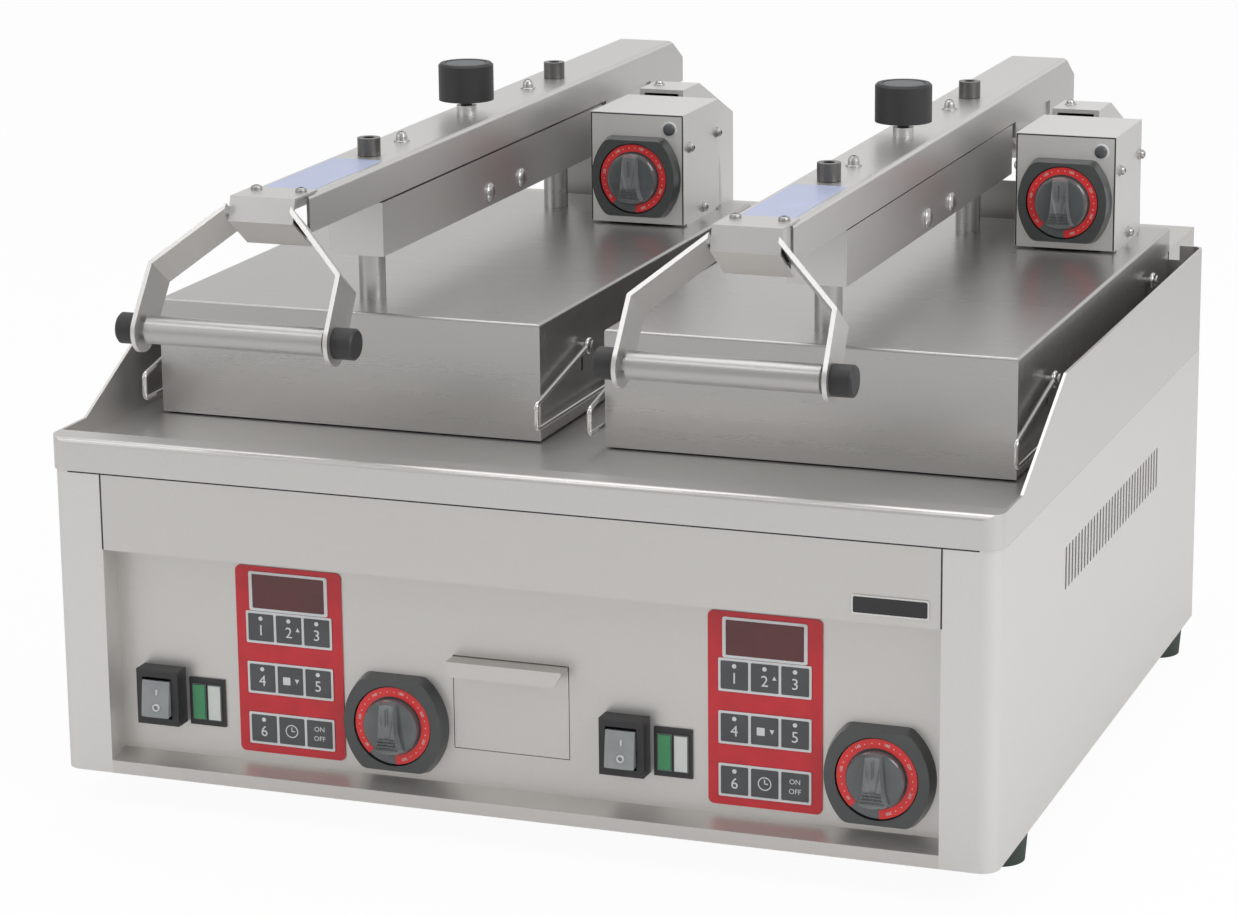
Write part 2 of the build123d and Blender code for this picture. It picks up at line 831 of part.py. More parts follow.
# Handle: a flat bar bent into a bow, a round grip and two end caps
def bow_plane(x):
    lean = math.radians(bow_lean)
    normal = (0, -math.sin(lean), math.cos(lean))
    return Plane(origin=(x, grip_y, lift + grip_z), x_dir=(1, 0, 0), z_dir=normal)


def handle_bow(x):
    half = [(bow_foot_half, -strap_width / 2), (bow_bend_half, bow_bend), (bow_top_half, bow_top)]
    path = half + [(-u, v) for u, v in half[::-1]]
    side = make_face(Polyline(*strip(path, strap_thickness), close=True))
    bar = extrude(side, amount=strap_width / 2, both=True)
    bar = bow_plane(x) * bar
    reach = bow_foot_half + 3 * strap_thickness
    keep = bow_plane(x) * Pos(0, bow_top, 0) * Box(2 * reach, 2 * bow_top, 2 * strap_width)
    keep += rod("x", grip_y, lift + grip_z, strap_width / 2, x - reach, x + reach)
    bar &= keep
    inside = nose_outline()[4:]
    ahead = inside + [(grip_y, lift + nose_slant_bottom - 5), (grip_y, lift + arm_top + 5)]
    bar -= prism_x(ahead, x - nose_width / 2, x + nose_width / 2)
    return bar - rod("x", grip_y, lift + grip_z, grip_shank_radius, x - reach, x + reach)


def grip_tube(x):
    inner = bow_foot_half - 0.8
    tube = rod("x", grip_y, lift + grip_z, grip_radius, x - inner + 3, x + inner - 3)
    reach = cap_end - 4
    shank = grip_shank_radius - bolt_gap
    return tube + rod("x", grip_y, lift + grip_z, shank, x - reach, x + reach)


def grip_cap(x, side):
    start = bow_foot_half + strap_thickness
    ends = sorted((x + side * start, x + side * cap_end))
    cap = rod("x", grip_y, lift + grip_z, cap_radius, *ends)
    outer = cap.faces().sort_by(Axis.X)[-1 if side > 0 else 0]
    cap = chamfer(outer.edges(), 1.2)
    hole = sorted((x + side * (start - 1), x + side * (cap_end - 4)))
    return cap - rod("x", grip_y, lift + grip_z, grip_shank_radius - bolt_gap, *hole)


# Adjusting knob with its spindle, and the swivel pad at the spindle's end
def adjuster_knob(x):
    low = lift + arm_top + adjuster_lift
    knob = rod("z", x, knob_y, adjuster_radius, low, low + adjuster_tall)
    knob = chamfer(knob.faces().sort_by(Axis.Z)[-1].edges(), 1.5)
    high = low + adjuster_tall
    knob -= rod("z", x, knob_y, adjuster_dish_radius, high - adjuster_dish_depth, high + 1)
    pad_top = lift + beam_top + pad_above_beam + pad_thickness
    return knob + rod("z", x, knob_y, spindle_radius, pad_top - pad_socket_depth, low + 1)


def adjuster_pad(x):
    low = lift + beam_top + pad_above_beam
    pad = rod("z", x, knob_y, pad_radius, low, low + pad_thickness)
    socket = low + pad_thickness - pad_socket_depth
    return pad - rod("z", x, knob_y, spindle_radius + bolt_gap, socket, low + pad_thickness + 1)


# Beam below the arm: a box section with a closed front end
def lid_beam(x):
    w = beam_width / 2
    low = lift + beam_bottom
    high = lift + beam_top
    t = beam_wall
    shape = block(x - w, x + w, beam_front_y, beam_rear_y, low, high)
    shape -= block(x - w + t, x + w - t, beam_front_y + t, beam_rear_y + 1, low + t, high - t)
    for y in (post_front_y, post_rear_y):
        shape -= rod("z", x, y, bolt_radius, low - 1, high + 1)
    return shape


# Shoulder bolts hold the hood to the beam and guide it through the arm
def shoulder_bolt(x, y):
    seat = lift + arm_top + running_gap
    foot_z = lift + hood_top + 4
    bolt = rod("z", x, y, bolt_radius, foot_z, seat)
    bolt += rod("z", x, y, bolt_head_radius, seat, seat + bolt_head_height)
    return bolt - rod("z", x, y, bolt_socket_radius, seat + bolt_head_height - bolt_socket_depth,
                      seat + bolt_head_height + 1)


# Hood: a box open at the bottom with a folded cover edge and two posts
def hood(lid):
    w = hood_width / 2
    y0 = hood_front_y
    y1 = hood_rear_y
    low = deck_top + hood_deck_gap
    top = lift + hood_top
    t = thin_sheet
    p = hood_fold_proud
    box = block(lid - w + p, lid + w - p, y0 + p / 2, y1 - p, low, top - 1)
    cover = block(lid - w, lid + w, y0, y1, top - hood_fold, top)
    cover += block(lid - w, lid + w, y0, y0 + t, low, top)
    cover = fillet(cover.faces().sort_by(Axis.Z)[-1].edges(), hood_bend_radius)
    box += cover
    box -= block(lid - w + p + t, lid + w - p - t, y0 + t, y1 - p - t, low - 1, top - t)
    arm = math.copysign(lid_x, lid)
    for y in (post_front_y, post_rear_y):
        box += rod("z", arm, y, post_radius, top - t, lift + beam_bottom)
        box -= rod("z", arm, y, bolt_radius, lift + hood_top + 4, lift + beam_bottom + 1)
    for side in (-1, 1):
        wall = lid + side * (w - p)
        for y, z in ((pin_front_y, lift + pin_front_z), (pin_rear_y, lift + pin_rear_z)):
            shank = sorted((wall - side, wall + side * (wire_out + wire_radius + 1)))
            head = sorted((shank[0 if side < 0 else 1], shank[0 if side < 0 else 1] + side * 1.2))
            box += rod("x", y, z, pin_radius, *shank) + rod("x", y, z, pin_head_radius, *head)
            slot_x = sorted((wall - side * (t + 1), wall + side * 0.5))
            slot_top = z - pin_head_radius - 2
            box -= block(*slot_x, y - keyhole_width / 2, y + keyhole_width / 2,
                         slot_top - keyhole_length, slot_top)
    return box


# Upper cooking plate with its cast-in heater, hung from the hood by four studs
def upper_plate(lid):
    w = hood_width / 2 - upper_plate_inset
    y0 = hood_front_y + upper_plate_inset
    y1 = hood_rear_y - upper_plate_inset
    low = deck_top + plate_flange_thickness + food_gap
    high = low + upper_plate_thickness
    plate = block(lid - w, lid + w, y0, y1, low, high)
    plate = fillet(plate.edges().filter_by(Axis.Z), 8)
    for dx in (-w * 0.7, w * 0.7):
        for y in (y0 + stud_inset, y1 - stud_inset):
            plate += rod("z", lid + dx, y, stud_radius, high - 1, lift + hood_top - thin_sheet)
    return plate


# Control box on the lid with a bezel, a dial and a pilot lamp seat
def box_dial_place(x):
    return x + box_left + box_width / 2, lift + box_bottom + box_tall - box_dial_drop


def control_box(x):
    x0 = x + box_left
    x1 = x0 + box_width
    y0 = box_front_y
    y1 = y0 + box_depth
    z0 = lift + box_bottom
    z1 = z0 + box_tall
    t = box_wall
    shell = block(x0, x1, y0, y1, z0, z1) - block(x0 + t, x1 - t, y0 + t, y1 - t, z0 + t, z1 - t)
    cx, cz = box_dial_place(x)
    shell -= rod("y", cx, cz, shaft_hole_radius, y0 - 1, y0 + 1 + t)
    lamp_x = x1 - box_lamp_inset
    lamp_z = z1 - box_lamp_inset
    shell += rod("y", lamp_x, lamp_z, box_lamp_radius, y0 - box_lamp_stand, y0 + 3)
    for foot_x0 in (x0, x1 - box_foot_width):
        shell += block(foot_x0, foot_x0 + box_foot_width, y0 + 8, y1 - 8, lift + hood_top, z0)
    return shell


# Short bent conduit from the back of the control box down to the hood
def box_conduit(x):
    at = x + box_left + box_width - conduit_inset
    back = box_front_y + box_depth
    high = lift + box_bottom + box_tall - conduit_drop
    path = Spline((at, back - 4, high + 6), (at, back + conduit_reach * 0.6, high - 18),
                  (at, back + conduit_reach, lift + hood_top - 1))
    start = Plane(origin=path @ 0, z_dir=path % 0)
    tube = sweep(start * Circle(conduit_radius), path=path)
    keep = block(at - 20, at + 20, back, back + 40, lift + hood_top, high + 20)
    return tube & keep


# Bent wire on one side of a lid, with an eye round each pin
def sheet_wire(lid, side):
    x = lid + side * (hood_width / 2 - hood_fold_proud + wire_out)
    points = [(x, pin_front_y - pin_radius - wire_radius - pin_gap, lift + pin_front_z)]
    points += [(x, wire_front_y, lift + wire_shoulder), (x, wire_front_y, lift + wire_low)]
    points += [(x, wire_rear_y, lift + wire_low), (x, wire_rear_y, lift + wire_shoulder)]
    points += [(x, pin_rear_y + pin_radius + wire_radius + pin_gap, lift + pin_rear_z)]
    path = FilletPolyline(*points, radius=wire_bend)
    start = Plane(origin=path @ 0, z_dir=path % 0)
    wire = sweep(start * Circle(wire_radius), path=path)
    ring = pin_radius + wire_radius + pin_gap
    for y, z in ((pin_front_y, pin_front_z), (pin_rear_y, pin_rear_z)):
        wire += Pos(x, y, lift + z) * Rot(0, 90, 0) * Torus(ring, wire_radius)
    return wire


# Inner electrical parts standing on the base plate
def contactor(x, y):
    body = block(x - contactor_width / 2, x + contactor_width / 2, y, y + contactor_depth,
                 inner_floor, inner_floor + contactor_tall)
    rail = inner_floor + contactor_tall / 2
    return body - block(x - contactor_width, x + contactor_width, y - 1, y + 6, rail - 12, rail + 12)


def timer_board(dx):
    x = keypad_x + dx
    y0 = panel_setback + thin_sheet + board_standoff
    z = lift + keypad_z
    board = block(x - board_width / 2, x + board_width / 2, y0, y0 + board_thickness,
                  z - board_tall / 2, z + board_tall / 2)
    for u in (-1, 1):
        for v in (-1, 1):
            board += rod("y", x + u * (board_width / 2 - 5), z + v * (board_tall / 2 - 5), 3,
                         panel_setback + thin_sheet, y0 + 0.5)
    return board


def cable_gland():
    z = lift + housing_bottom + gland_height
    gland = rod("y", gland_x, z, gland_radius, housing_rear_y, housing_rear_y + gland_length)
    gland += rod("y", gland_x, z, gland_bore + 1, housing_rear_y - 6, housing_rear_y + 1)
    return gland - rod("y", gland_x, z, gland_bore, housing_rear_y - 7, housing_rear_y + gland_length + 1)


# Fixed pieces of the base
put("worktop", worktop())
put("casing_left", casing(-1))
put("casing_right", casing(1))
put("base_tray", base_tray())
put("rear_panel", rear_panel())
put("upper_fascia", upper_fascia())
put("control_panel", control_panel())
for foot_side in (-foot_x, foot_x):
    for foot_y in (foot_front_y, foot_rear_y):
        put("feet", foot(foot_side, foot_y))
for zone in zones():
    put("switch_housings", switch_housing(zone))
    put("pilot_frames", pilot_frame(zone))
    put("pilot_lenses_green", pilot_lens(zone, -1))
    put("pilot_lenses_white", pilot_lens(zone, 1))
    put("keypads", keypad(zone))
    put("thermostat_bezels", panel_bezel(dial_x + zone))
    put("thermostats", thermostat(dial_x + zone, lift + dial_z, panel_setback + thin_sheet))
    put("electronics", timer_board(zone))
for rail_side in (-1, 1):
    put("drawer_runners", drawer_runner(rail_side))
    put("griddle_plates", griddle_plate(rail_side * lid_x))
    put("lower_heaters", heater(rail_side * lid_x, deck_top - plate_thickness))
    put("electronics", contactor(rail_side * contactor_x, contactor_y))
    put("hinge_towers", hinge_tower(rail_side * lid_x))
    put("hinge_shafts", hinge_shaft(rail_side * lid_x))
    put("hinge_shafts", counter_spring(rail_side * lid_x))
put("rear_housing", rear_housing())
put("cable_gland", cable_gland())

# Moving pieces on the front panel
put("rocker_left", rocker(0.0))
put("rocker_right", rocker(group_pitch))
put("dial_lower_left", dial(dial_x, lift + dial_z, panel_setback, skirt_radius))
put("dial_lower_right", dial(dial_x + group_pitch, lift + dial_z, panel_setback, skirt_radius))
put("grease_drawer", grease_drawer())

# Two lids with their arms
for word, arm_x in (("left", -lid_x), ("right", lid_x)):
    put("arm_channel_" + word, arm_channel(arm_x))
    put("nose_cover_" + word, nose_cover(arm_x))
    put("handle_bow_" + word, handle_bow(arm_x))
    put("grip_tube_" + word, grip_tube(arm_x))
    put("grip_caps_" + word, grip_cap(arm_x, -1), grip_cap(arm_x, 1))
    put("adjuster_knob_" + word, adjuster_knob(arm_x))
    put("adjuster_pad_" + word, adjuster_pad(arm_x))
    put("lid_beam_" + word, lid_beam(arm_x))
    put("hood_" + word, hood(arm_x))
    put("upper_plate_" + word, upper_plate(arm_x))
    put("shoulder_bolts_" + word, shoulder_bolt(arm_x, post_front_y), shoulder_bolt(arm_x, post_rear_y))
    put("control_box_" + word, control_box(arm_x))
    place = box_dial_place(arm_x)
    put("box_bezel_" + word, box_bezel(*place))
    put("dial_upper_" + word, dial(*place, box_front_y, box_skirt_radius))
    put("box_conduit_" + word, box_conduit(arm_x))
    put("sheet_wires_" + word, sheet_wire(arm_x, -1), sheet_wire(arm_x, 1))

# The finished assembly is centred over its own footprint and written node by node
os.makedirs("parts", exist_ok=True)
for name, solids in nodes.items():
    pieces = [Pos(0, -middle_y, 0) * solid for solid in solids]
    shape = pieces[0] if len(pieces) == 1 else Compound(children=pieces)
    export_step(shape, f"parts/{name}.step")
print(len(nodes), "nodes, centred at", round(middle_y, 3))
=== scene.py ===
import json
import math

import bmesh
import bpy
from mathutils import Matrix, Vector


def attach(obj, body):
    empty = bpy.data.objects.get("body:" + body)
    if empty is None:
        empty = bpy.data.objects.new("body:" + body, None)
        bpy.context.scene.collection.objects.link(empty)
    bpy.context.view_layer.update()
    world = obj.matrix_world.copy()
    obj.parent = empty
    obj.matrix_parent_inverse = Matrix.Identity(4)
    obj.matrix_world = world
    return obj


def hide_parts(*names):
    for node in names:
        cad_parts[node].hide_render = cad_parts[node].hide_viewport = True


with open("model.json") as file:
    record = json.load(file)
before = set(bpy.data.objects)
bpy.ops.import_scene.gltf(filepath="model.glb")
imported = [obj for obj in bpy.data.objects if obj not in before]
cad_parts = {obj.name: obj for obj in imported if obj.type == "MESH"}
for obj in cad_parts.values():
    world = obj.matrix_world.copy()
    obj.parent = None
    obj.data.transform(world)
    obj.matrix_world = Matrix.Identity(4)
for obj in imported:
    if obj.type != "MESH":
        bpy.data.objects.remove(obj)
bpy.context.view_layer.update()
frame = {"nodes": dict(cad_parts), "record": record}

# Places are written in millimetres as in the part: X right, Y back from the
# apron face, Z above the body bottom. MIDDLE and LIFT bring them into the frame.
MIDDLE = 352.75
LIFT = 24.0
LIDS = (("left", -165.0), ("right", 165.0))

# Control groups on the front panel, X of each item in the left group
GROUP_PITCH = 335.0
KEYPAD_X = -164.2
DIAL_X, DIAL_Z = -87.0, 52.0
SWITCH_X, SWITCH_Z = -258.5, 55.5
PILOT_X, PILOT_Z = -226.8, 52.0
LENS_OFFSET, LENS_WIDTH, LENS_TALL = 5.7, 8.8, 24.0
PANEL_Y = 20.0

# Control box on each lid, X from the lid's middle
BOX_Y = 473.0
BOX_LEFT, BOX_RIGHT = 50.0, 124.0
BOX_DIAL_X, BOX_DIAL_Z = 87.0, 342.0
LAMP_X, LAMP_Z = 113.0, 379.0

# Arm above each lid
ARM_TOP = 405.0
KNOB_Y, KNOB_DISC_Z = 350.0, 442.0
BEAM_SIDE = 20.5


def place(x, y, z):
    return Vector((x / 1000, (y - MIDDLE) / 1000, (z + LIFT) / 1000))


# Materials
class Nodes:
    """A small helper that builds one material's node tree."""

    def __init__(self, name):
        self.mat = bpy.data.materials.new(name)
        self.mat.use_nodes = True
        self.tree = self.mat.node_tree
        self.shader = self.tree.nodes["Principled BSDF"]
        self.coords = self.tree.nodes.new("ShaderNodeTexCoord").outputs["Object"]

    def node(self, kind, **values):
        made = self.tree.nodes.new(kind)
        for key, value in values.items():
            if key in made.inputs:
                made.inputs[key].default_value = value
            else:
                setattr(made, key, value)
        return made

    def link(self, a, b):
        self.tree.links.new(a, b)

    def stretch(self, scale, rotation=(0, 0, 0), source=None):
        mapping = self.node("ShaderNodeMapping")
        mapping.inputs["Scale"].default_value = scale
        mapping.inputs["Rotation"].default_value = rotation
        self.link(source or self.coords, mapping.inputs["Vector"])
        return mapping.outputs["Vector"]

    def noise(self, vector, scale, detail=3.0, rough=0.5):
        tex = self.node("ShaderNodeTexNoise", Scale=scale, Detail=detail, Roughness=rough)
        self.link(vector, tex.inputs["Vector"])
        return tex.outputs["Fac"]

    def ramp(self, value, stops):
        ramp = self.node("ShaderNodeValToRGB")
        band = ramp.color_ramp
        while len(band.elements) < len(stops):
            band.elements.new(0.5)
        for element, (at, colour) in zip(band.elements, stops):
            element.position = at
            element.color = (*colour, 1) if len(colour) == 3 else colour
        self.link(value, ramp.inputs["Fac"])
        return ramp.outputs["Color"]

    def range(self, value, low, high, old_low=0.0, old_high=1.0):
        made = self.node("ShaderNodeMapRange")
        made.inputs["From Min"].default_value = old_low
        made.inputs["From Max"].default_value = old_high
        made.inputs["To Min"].default_value = low
        made.inputs["To Max"].default_value = high
        self.link(value, made.inputs["Value"])
        return made.outputs["Result"]

    def bump(self, height, strength, distance=0.0005):
        made = self.node("ShaderNodeBump", Strength=strength, Distance=distance)
        self.link(height, made.inputs["Height"])
        self.link(made.outputs["Normal"], self.shader.inputs["Normal"])

    def set(self, **values):
        for key, value in values.items():
            socket = self.shader.inputs[key.replace("_", " ")]
            if hasattr(value, "is_linked"):
                self.link(value, socket)
            else:
                socket.default_value = value


def grey(v, warm=0.0):
    return (v * (1 + warm), v, v * (1 - warm * 1.4))


def steel(name, base, rough, grain, lines=900.0, warm=0.02, clouds=0.05, bump=0.02, metal=0.9):
    """Brushed or satin stainless sheet; grain is the direction of the brush lines."""
    m = Nodes(name)
    along = "xyz".index(grain)
    fine = [lines * 2.0] * 3
    fine[along] = 40.0
    brush = m.noise(m.stretch(tuple(fine)), 1.0, 2.0, 0.6)
    broad_scale = [lines * 0.12] * 3
    broad_scale[along] = 2.0
    broad = m.noise(m.stretch(tuple(broad_scale)), 1.0, 2.0, 0.5)
    cloud = m.noise(m.coords, 2.6, 2.0, 0.5)
    speck = m.noise(m.coords, 900.0, 1.0, 0.5)
    total = m.node("ShaderNodeMath", operation="ADD")
    m.link(m.range(brush, -0.45, 0.45), total.inputs[0])
    m.link(m.range(cloud, -clouds * 8, clouds * 8), total.inputs[1])
    more = m.node("ShaderNodeMath", operation="ADD")
    m.link(total.outputs[0], more.inputs[0])
    m.link(m.range(speck, -0.5, 0.5), more.inputs[1])
    shade = m.range(more.outputs[0], 0.0, 1.0, -1.0, 1.0)
    low, high = base * 0.94, min(base * 1.06, 1.0)
    m.set(Base_Color=m.ramp(shade, [(0.0, grey(low, warm)), (1.0, grey(high, warm * 0.6))]))
    spread = m.node("ShaderNodeMath", operation="ADD")
    m.link(m.range(broad, rough - 0.02, rough + 0.02), spread.inputs[0])
    m.link(m.range(brush, -0.02, 0.03), spread.inputs[1])
    m.set(Metallic=metal, Roughness=spread.outputs[0])
    m.bump(brush, bump, 0.0001)
    return m.mat


def plastic(name, colour, rough, grain=900.0, bump=0.15, coat=0.0, wear=0.12, specular=0.5):
    m = Nodes(name)
    speck = m.noise(m.coords, grain, 2.0, 0.6)
    cloud = m.noise(m.coords, 40.0, 3.0, 0.5)
    dark = tuple(c * (1 - wear) for c in colour)
    light = tuple(min(1.0, c * (1 + wear)) for c in colour)
    m.set(Base_Color=m.ramp(cloud, [(0.3, dark), (0.7, light)]))
    m.set(Roughness=m.range(cloud, rough - 0.06, rough + 0.06))
    m.set(Coat_Weight=coat, Coat_Roughness=0.12, Specular_IOR_Level=specular)
    m.bump(speck, bump, 0.0002)
    return m.mat


def lens(name, colour, rough=0.18):
    """A tinted lamp cap with fine vertical ribs inside."""
    m = Nodes(name)
    wave = m.node("ShaderNodeTexWave", Scale=420.0, Distortion=0.4)
    wave.bands_direction = "X"
    m.link(m.coords, wave.inputs["Vector"])
    cloud = m.noise(m.coords, 160.0, 2.0)
    mix = m.node("ShaderNodeMath", operation="MULTIPLY")
    m.link(wave.outputs["Fac"], mix.inputs[0])
    m.link(m.range(cloud, 0.7, 1.0), mix.inputs[1])
    deep = tuple(c * 0.78 for c in colour)
    m.set(Base_Color=m.ramp(mix.outputs[0], [(0.0, deep), (1.0, colour)]))
    m.set(Roughness=m.range(cloud, rough - 0.05, rough + 0.08))
    m.set(Coat_Weight=0.6, Coat_Roughness=0.08, Subsurface_Weight=0.15)
    m.bump(wave.outputs["Fac"], 0.12, 0.0003)
    return m.mat


def iron(name, base, rough):
    """Ground cooking plate, browned a little by heat and seasoned."""
    m = Nodes(name)
    rings = m.noise(m.stretch((500, 30, 500)), 1.0, 2.0, 0.6)
    cloud = m.noise(m.coords, 14.0, 5.0, 0.6)
    brown = (base * 0.7, base * 0.6, base * 0.5)
    m.set(Base_Color=m.ramp(cloud, [(0.25, brown), (0.75, grey(base, 0.05))]))
    m.set(Metallic=0.9, Roughness=m.range(cloud, rough - 0.08, rough + 0.12))
    m.bump(rings, 0.12, 0.0002)
    return m.mat


def film(name):
    """Keypad film: plain red. The key fields and the display are pieces of their own."""
    m = Nodes(name)
    cloud = m.noise(m.coords, 60.0, 3.0)
    fine = m.noise(m.coords, 1400.0, 2.0)
    m.set(Base_Color=m.ramp(cloud, [(0.3, (0.46, 0.008, 0.016)), (0.7, (0.56, 0.012, 0.022))]))
    m.set(Roughness=m.range(cloud, 0.34, 0.46), Coat_Weight=0.25, Coat_Roughness=0.2)
    m.bump(fine, 0.08, 0.0001)
    return m.mat


MATERIALS = {
    "steel_sheet": steel("brushed sheet", 0.59, 0.38, "x", warm=0.035, metal=0.8),
    "steel_bar": steel("satin bar", 0.64, 0.34, "y"),
    "steel_box": steel("satin box", 0.71, 0.34, "z", metal=0.8),
    "steel_inner": steel("inner steel", 0.40, 0.42, "y"),
    "grip_steel": steel("turned grip", 0.45, 0.34, "x", clouds=0.03),
    "chrome_wire": steel("bright wire", 0.62, 0.14, "y", clouds=0.02),
    "plate_steel": iron("cooking plate", 0.16, 0.42),
    "heater": iron("heater bar", 0.09, 0.6),
    "black_bolt": steel("bolt steel", 0.15, 0.30, "z", warm=0.02, clouds=0.02),
    "foot_rubber": plastic("foot rubber", (0.045, 0.062, 0.052), 0.72, 700, 0.35),
    "black_plastic": plastic("black plastic", (0.022, 0.022, 0.024), 0.45, 1300, 0.25),
    "grey_plastic": plastic("smoke grey plastic", (0.046, 0.049, 0.050), 0.30, 1500, 0.1, coat=0.4),
    "dial_plastic": plastic("dial plastic", (0.105, 0.115, 0.12), 0.22, 1500, 0.06, coat=0.4),
    "lens_green": lens("green lens", (0.02, 0.27, 0.09)),
    "lens_white": lens("clear lens", (0.72, 0.72, 0.68)),
    "keypad_film": film("keypad film"),
    "conduit": plastic("pale conduit", (0.58, 0.58, 0.57), 0.4, 900, 0.1, wear=0.08),
    "inner_plastic": plastic("inner plastic", (0.52, 0.50, 0.44), 0.5),
}

# The casing sides take a copy of the brushed sheet painted lighter: painted light for the light that
# falls on the sides.
side_sheet_painted_light = steel("side sheet painted lighter", 0.67, 0.42, "y", warm=0.025, clouds=0.03, metal=0.75)
# The hoods take a copy of the sheet painted darker: painted shade for the dark reflections in their tops.
hood_sheet_painted_shade = steel("hood sheet painted darker", 0.47, 0.28, "x", clouds=0.06)
apron_sheet = steel("apron sheet", 0.60, 0.33, "x", warm=0.03, clouds=0.04, metal=0.85)

record = frame["record"]
slots = {entry["node"]: entry["material_slot"] for entry in record["subparts"]}
special = {"casing_left": side_sheet_painted_light, "casing_right": side_sheet_painted_light, "hood_left": hood_sheet_painted_shade,
           "hood_right": hood_sheet_painted_shade, "worktop": apron_sheet}


def dress(obj, material):
    if not obj.material_slots:
        obj.data.materials.append(material)
    for one in obj.material_slots:
        one.material = material


for node, obj in frame["nodes"].items():
    dress(obj, special.get(node, MATERIALS[slots[node]]))

# Camera
# The view of the photograph, from the front right and a little above.
RIGHT = Vector((0.93895, 0.34391, -0.010046))
DOWN = Vector((0.077426, -0.239663, -0.967764))
AHEAD = Vector((-0.335227, 0.907904, -0.251659))
SENSOR_WIDTH = 36.0
FOCAL_PIXELS, PHOTO_WIDTH = 3856.75, 1238
camera = bpy.data.objects.new("camera", bpy.data.cameras.new("camera"))
bpy.context.collection.objects.link(camera)
axes = Matrix((RIGHT, -DOWN, -AHEAD)).transposed().to_4x4()
camera.matrix_world = Matrix.Translation(place(900.7, -2223.6, 868.7)) @ axes
camera.data.sensor_width = SENSOR_WIDTH
camera.data.lens = FOCAL_PIXELS / PHOTO_WIDTH * SENSOR_WIDTH
camera.data.clip_end = 50.0
bpy.context.scene.camera = camera

# Floor and light
# Share of plain white that the camera sees on the floor
FLOOR_WHITE = 0.95
floor_mesh = bpy.data.meshes.new("floor")
floor_form = bmesh.new()
bmesh.ops.create_grid(floor_form, x_segments=2, y_segments=2, size=14.0)
floor_form.to_mesh(floor_mesh)
floor = bpy.data.objects.new("floor", floor_mesh)
bpy.context.collection.objects.link(floor)
paper = Nodes("paper floor")
fleck = paper.noise(paper.coords, 6.0, 3.0)
paper_tint = paper.ramp(fleck, [(0.3, (0.80, 0.80, 0.80)), (0.7, (0.82, 0.82, 0.82))])
paper.set(Base_Color=paper_tint, Roughness=0.8)
tree = paper.tree
rays = tree.nodes.new("ShaderNodeLightPath")
white = tree.nodes.new("ShaderNodeEmission")
white.inputs["Color"].default_value = (1, 1, 1, 1)
blend = tree.nodes.new("ShaderNodeMixShader")
tree.links.new(paper.shader.outputs[0], blend.inputs[1])
tree.links.new(white.outputs[0], blend.inputs[2])
share = tree.nodes.new("ShaderNodeMath")
share.operation = "MULTIPLY"
share.inputs[1].default_value = FLOOR_WHITE
tree.links.new(rays.outputs["Is Camera Ray"], share.inputs[0])
tree.links.new(share.outputs[0], blend.inputs["Fac"])
tree.links.new(blend.outputs[0], tree.nodes["Material Output"].inputs["Surface"])
floor.data.materials.append(paper.mat)

# The studio is brighter to the right and behind than in front
SKY_LEVEL = 0.82
SKY_SLOPE = (0.12, 0.16, 0.0)
world = bpy.data.worlds.new("studio")
world.use_nodes = True
bpy.context.scene.world = world
sky = world.node_tree
back = sky.nodes["Background"]
lookup = sky.nodes.new("ShaderNodeTexCoord")
split = sky.nodes.new("ShaderNodeSeparateXYZ")
sky.links.new(lookup.outputs["Generated"], split.inputs[0])
band = sky.nodes.new("ShaderNodeValToRGB")
band.color_ramp.elements[0].position = 0.0
band.color_ramp.elements[0].color = (1.0, 1.0, 1.0, 1)
band.color_ramp.elements[1].position = 1.0
band.color_ramp.elements[1].color = (0.60, 0.60, 0.61, 1)
middle = band.color_ramp.elements.new(0.35)
middle.color = (0.80, 0.80, 0.80, 1)
sky.links.new(split.outputs["Z"], band.inputs["Fac"])
sky.links.new(band.outputs["Color"], back.inputs["Color"])
slope = sky.nodes.new("ShaderNodeVectorMath")
slope.operation = "DOT_PRODUCT"
slope.inputs[1].default_value = SKY_SLOPE
sky.links.new(lookup.outputs["Generated"], slope.inputs[0])
level = sky.nodes.new("ShaderNodeMath")
level.operation = "ADD"
level.inputs[1].default_value = SKY_LEVEL
sky.links.new(slope.outputs["Value"], level.inputs[0])
sky.links.new(level.outputs[0], back.inputs["Strength"])
clean = sky.nodes.new("ShaderNodeBackground")
clean.inputs["Color"].default_value = (1, 1, 1, 1)
clean.inputs["Strength"].default_value = 1.0
sky_mix = sky.nodes.new("ShaderNodeMixShader")
sky_rays = sky.nodes.new("ShaderNodeLightPath")
sky.links.new(sky_rays.outputs["Is Camera Ray"], sky_mix.inputs["Fac"])
sky.links.new(back.outputs[0], sky_mix.inputs[1])
sky.links.new(clean.outputs[0], sky_mix.inputs[2])
sky.links.new(sky_mix.outputs[0], sky.nodes["World Output"].inputs["Surface"])


def lamp(name, at, aim, size, power, tint=(1, 1, 1)):
    data = bpy.data.lights.new(name, "AREA")
    data.shape = "RECTANGLE"
    data.size, data.size_y = size
    data.energy = power
    data.color = tint
    obj = bpy.data.objects.new(name, data)
    obj.location = at
    obj.rotation_euler = (Vector(aim) - Vector(at)).to_track_quat("-Z", "Y").to_euler()
    bpy.context.collection.objects.link(obj)


lamp("key", (2.4, -1.0, 2.2), (0, 0, 0.2), (1.6, 1.6), 38)
lamp("top", (-0.2, 0.4, 2.6), (0, 0, 0.2), (2.4, 1.8), 22)
lamp("fill", (-2.2, -2.0, 1.4), (0, 0, 0.2), (1.8, 1.8), 10)
lamp("strip", (-0.9, -1.5, 2.4), (0, 0, 0.2), (2.4, 0.4), 8)

bpy.context.scene.view_settings.view_transform = "Standard"


